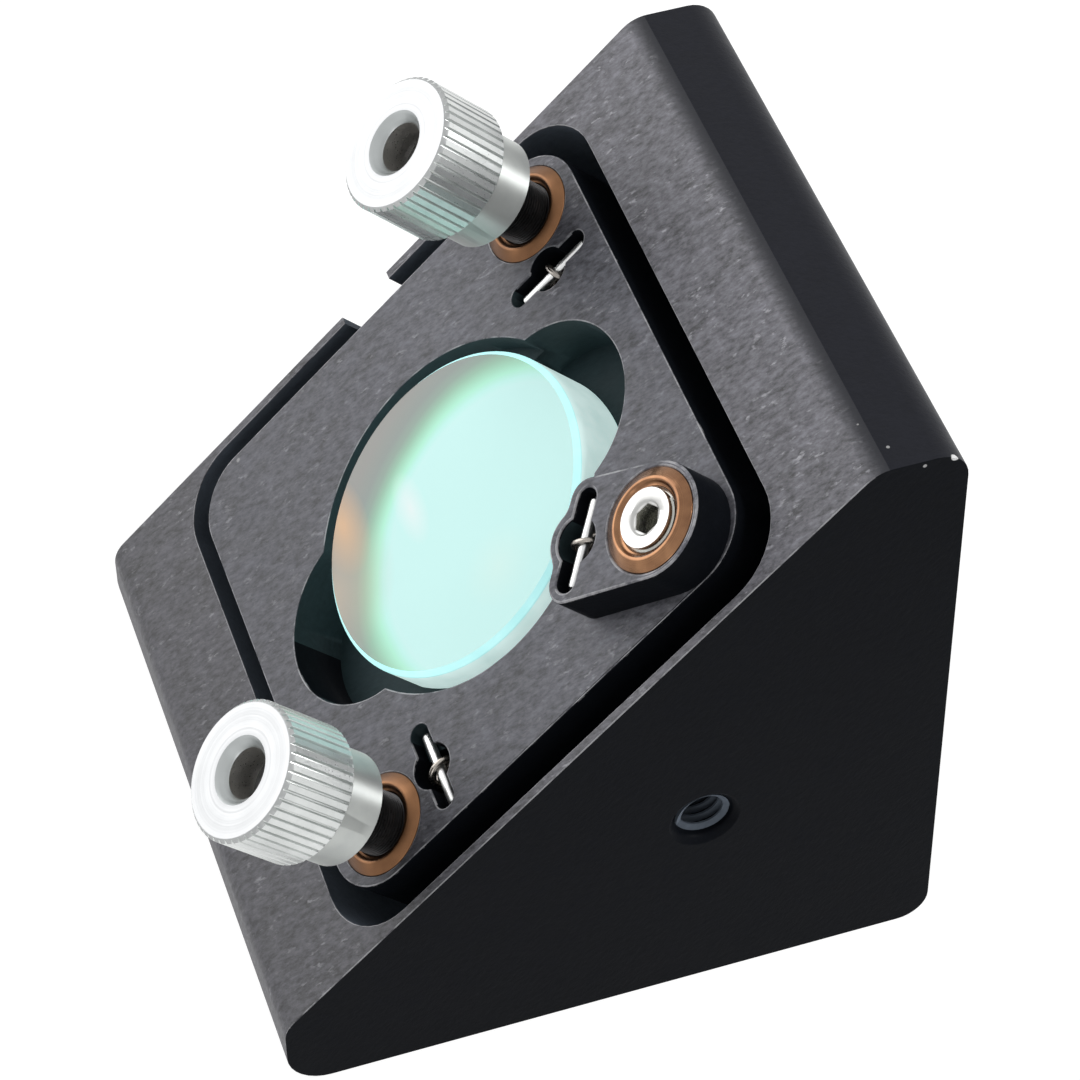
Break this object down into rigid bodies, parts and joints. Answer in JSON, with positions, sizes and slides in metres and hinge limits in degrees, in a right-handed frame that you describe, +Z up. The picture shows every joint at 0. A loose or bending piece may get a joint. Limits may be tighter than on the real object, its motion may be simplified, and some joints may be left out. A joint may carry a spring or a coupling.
{
  "type": "kinematic mirror mount",
  "caption": "Right-angle cage block whose spring-loaded front plate holds a round mirror at 45 degrees and tilts about a pivot ball by fine screws with knurled knobs.",
  "frame": {"origin": "centre of the lower light port, on the face the block stands on", "axes": "+Z up along the lower light path; +X out of the back light port; the mirror slope faces -X and +Z; Y runs along the block"},
  "size_m": [0.0541, 0.05, 0.0541],
  "materials": {
    "black_anodised": "black anodised, satin on the sides and bead blasted on the slope",
    "plate_anodised": "black anodised and bead blasted, fine streaks",
    "silver": "bright satin knobs with a straight knurl",
    "bronze": "turned bronze bushings",
    "steel": "polished hardened steel",
    "screw_steel": "turned stainless steel screws",
    "mirror_glass": "coated optic with a frosted rim",
    "nylon": "soft white tip"
  },
  "bodies": {
    "block": {"housing": "black_anodised", "seat_cone": "steel", "seat_vee": "steel", "seat_flat": "steel", "housing_pin_1": "steel", "housing_pin_2": "steel", "housing_pin_3": "steel"},
    "pivot": {"pivot_ball": "steel"},
    "plate": {"front_plate": "plate_anodised", "mirror_disc": "mirror_glass", "clamp_screw": "screw_steel", "clamp_tip": "nylon", "bushing_1": "bronze", "bushing_2": "bronze", "pivot_bushing": "bronze", "pivot_screw": "silver", "plate_pin_1": "steel", "plate_pin_2": "steel", "plate_pin_3": "steel", "spring_coil_1": "steel", "spring_coil_2": "steel", "spring_coil_3": "steel"},
    "tip_1": {"adjuster_ball_1": "steel"},
    "tip_2": {"adjuster_ball_2": "steel"},
    "adjuster_1": {"adjuster_screw_1": "screw_steel", "knob_1": "silver"},
    "adjuster_2": {"adjuster_screw_2": "screw_steel", "knob_2": "silver"}
  },
  "joints": [
    {"name": "tilt_along_slope", "type": "hinge", "parent": "block", "child": "pivot", "pos_m": [0.01509, -0.0174, 0.03298], "axis": [0, 1, 0], "range_deg": [-3, 3]},
    {"name": "tilt_across_slope", "type": "hinge", "parent": "pivot", "child": "plate", "pos_m": [0.01509, -0.0174, 0.03298], "axis": [0.7071, 0, 0.7071], "range_deg": [-3, 3], "deforming": ["spring_coil_1", "spring_coil_2", "spring_coil_3"]},
    {"name": "screw_1_travel", "type": "slide", "parent": "plate", "child": "tip_1", "axis": [0.7071, 0, -0.7071], "range_m": [-0.00184, 0.00184]},
    {"name": "screw_2_travel", "type": "slide", "parent": "plate", "child": "tip_2", "axis": [0.7071, 0, -0.7071], "range_m": [-0.0017, 0.0017]},
    {"name": "knob_1_turn", "type": "hinge", "parent": "tip_1", "child": "adjuster_1", "pos_m": [0.01509, 0.0174, 0.03298], "axis": [0.7071, 0, -0.7071], "range_deg": [-2590, 2590]},
    {"name": "knob_2_turn", "type": "hinge", "parent": "tip_2", "child": "adjuster_2", "pos_m": [-0.00768, -0.0174, 0.01021], "axis": [0.7071, 0, -0.7071], "range_deg": [-2390, 2390]}
  ],
  "couplings": [
    {"joint": "screw_2_travel", "follows": "tilt_along_slope", "m_per_rad": 0.0322},
    {"joint": "knob_2_turn", "follows": "tilt_along_slope", "ratio": 796.53},
    {"joint": "screw_1_travel", "follows": "tilt_across_slope", "m_per_rad": 0.0348},
    {"joint": "knob_1_turn", "follows": "tilt_across_slope", "ratio": 860.85}
  ]
}
